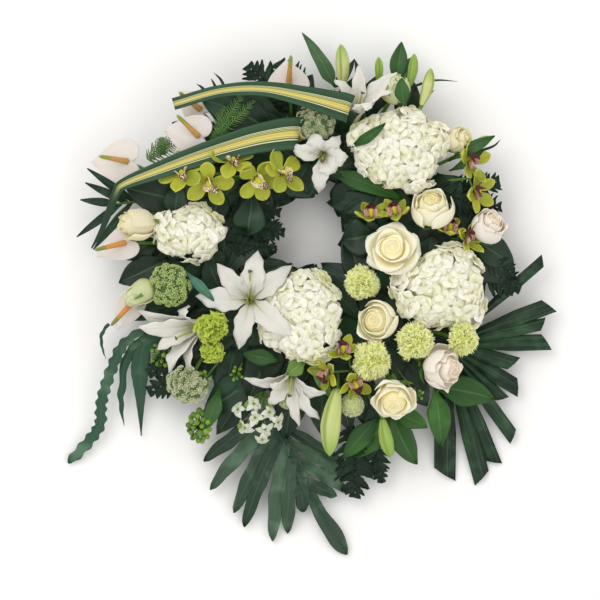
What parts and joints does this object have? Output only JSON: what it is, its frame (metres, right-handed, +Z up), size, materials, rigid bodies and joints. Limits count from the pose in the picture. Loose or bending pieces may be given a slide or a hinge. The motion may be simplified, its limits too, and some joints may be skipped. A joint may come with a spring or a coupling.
{
  "type": "funeral wreath",
  "caption": "Round funeral wreath lying on its tray: a foam ring planted with white and green cut flowers, palm, fern and broad leaves.",
  "frame": {"origin": "centre of the wreath's box, on the surface that its tray rests on", "axes": "+Z up out of the flowers' faces, +Y towards the side shown uppermost, +X to the right of it"},
  "size_m": [0.682, 0.733, 0.1377],
  "materials": {
    "tray": "moulded, semi-gloss dark green",
    "foam": "wet open-cell floral foam, matt dark green",
    "spathe": "waxy warm white with an orange to olive spadix",
    "lily": "satin white petal, green in the throat",
    "bud": "satin pale green",
    "rose": "velvety cream petal",
    "hydrangea": "matt off-white florets",
    "carnation": "matt frilled yellow-green petal",
    "lace": "matt grey-green beads",
    "orchid": "satin lime with a maroon lip",
    "striped": "satin dark green with a yellow stripe",
    "dark_leaf": "glossy dark green",
    "green_leaf": "glossy mid green",
    "blue_leaf": "satin blue-green"
  },
  "bodies": {
    "root": {"ring_tray": "tray", "foam_ring": "foam", "fan_palm_leaf": "dark_leaf", "lobed_leaf": "dark_leaf", "palm_frond": "dark_leaf", "striped_leaf_1": "striped", "striped_leaf_2": "striped", "lily_1": "lily", "lily_2": "lily", "lily_3": "lily", "lily_4": "lily", "lily_5": "lily", "anthurium_1": "spathe", "anthurium_2": "spathe", "anthurium_3": "spathe", "anthurium_4": "spathe", "anthurium_5": "spathe", "anthurium_6": "spathe", "lily_bud_1": "bud", "lily_bud_2": "bud", "lily_bud_3": "bud", "lily_bud_4": "bud", "lily_bud_5": "bud", "lily_bud_6": "bud", "lily_bud_7": "bud", "orchid_spray_1": "orchid", "orchid_spray_2": "orchid", "orchid_spray_3": "orchid", "orchid_spray_4": "orchid", "orchid_spray_5": "orchid", "strap_fern_1": "blue_leaf", "strap_fern_2": "blue_leaf", "laurel_twig_1": "green_leaf", "laurel_twig_2": "green_leaf", "laurel_twig_3": "green_leaf", "laurel_twig_4": "green_leaf", "ring_leaf_1": "dark_leaf", "ring_leaf_2": "dark_leaf", "rose_1": "rose", "rose_2": "rose", "rose_3": "rose", "rose_4": "rose", "rose_5": "rose", "rose_6": "rose", "rose_7": "rose", "rose_8": "rose", "rose_9": "rose", "lace_flower_1": "lace", "lace_flower_2": "lace", "lace_flower_3": "lace", "carnation_1": "carnation", "carnation_2": "carnation", "carnation_3": "carnation", "carnation_4": "carnation", "carnation_5": "carnation", "carnation_6": "carnation", "hydrangea_1": "hydrangea", "hydrangea_2": "hydrangea", "hydrangea_3": "hydrangea", "hydrangea_4": "hydrangea"}
  },
  "joints": []
}
